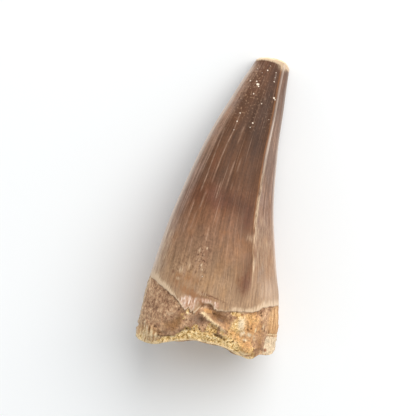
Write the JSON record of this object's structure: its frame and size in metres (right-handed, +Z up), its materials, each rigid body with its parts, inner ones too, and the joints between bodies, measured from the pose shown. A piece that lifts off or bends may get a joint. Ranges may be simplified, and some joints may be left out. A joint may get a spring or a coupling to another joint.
{
  "type": "fossil mosasaur tooth",
  "caption": "Fossil marine reptile tooth lying on its side: brown enamel crown with a sharp cutting edge, worn tip and a broken, sand-crusted root stub.",
  "frame": {"origin": "centre of the tooth's bounding box seen from above, on the surface that it lies on", "axes": "+Y from the broken root towards the worn tip, +Z up out of the visible face, -X towards the long convex edge"},
  "size_m": [0.0223, 0.0488, 0.0163],
  "materials": {
    "fossil_tooth": "satin"
  },
  "bodies": {
    "root": {"tooth": "fossil_tooth"}
  },
  "joints": []
}
